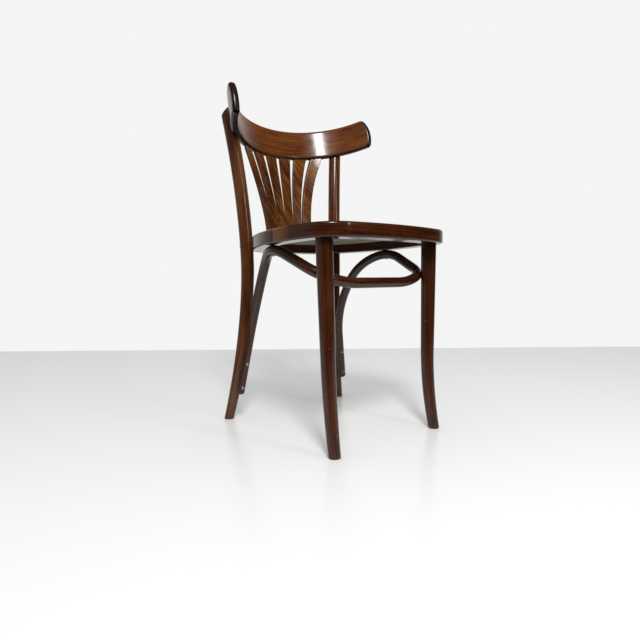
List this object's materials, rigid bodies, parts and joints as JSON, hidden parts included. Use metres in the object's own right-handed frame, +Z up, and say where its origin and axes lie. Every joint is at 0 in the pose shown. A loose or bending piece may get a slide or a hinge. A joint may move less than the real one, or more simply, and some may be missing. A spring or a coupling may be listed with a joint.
{
  "type": "bentwood bistro chair",
  "caption": "Bentwood side chair with a horseshoe crest rail, a slotted fan splat, a round-cornered framed seat and a continuous bent brace under it.",
  "frame": {"origin": "on the floor, under the middle of the chair's outer box", "axes": "+Z up, the sitter faces -Y, +X is the sitter's left"},
  "size_m": [0.4296, 0.4774, 0.7866],
  "materials": {
    "ring_wood": "steam-bent beech, dark walnut stain under glossy lacquer",
    "panel_plywood": "beech plywood, stained and lacquered on top, raw underneath",
    "leg_wood": "solid beech, dark walnut stain under glossy lacquer",
    "post_wood": "steam-bent beech, walnut stain under glossy lacquer",
    "brace_wood": "steam-bent beech rod, dark walnut stain under glossy lacquer",
    "crest_wood": "steam-bent beech board, walnut stain under glossy lacquer",
    "splat_plywood": "bent beech plywood, walnut stain under glossy lacquer",
    "plug_wood": "turned beech plug, stained and lacquered with the post",
    "screw_steel": "dulled steel slotted screws",
    "bolt_steel": "dulled steel bolt, washer and nut"
  },
  "bodies": {
    "root": {"seat_ring": "ring_wood", "seat_panel": "panel_plywood", "front_leg_left": "leg_wood", "front_leg_right": "leg_wood", "back_post_left": "post_wood", "back_post_right": "post_wood", "brace": "brace_wood", "crest_rail": "crest_wood", "fan_splat": "splat_plywood", "brace_screws": "screw_steel", "post_bolts": "bolt_steel", "post_washers": "bolt_steel", "post_nuts": "bolt_steel", "crest_screws": "screw_steel", "crest_plugs": "plug_wood", "splat_screws": "screw_steel"}
  },
  "joints": []
}
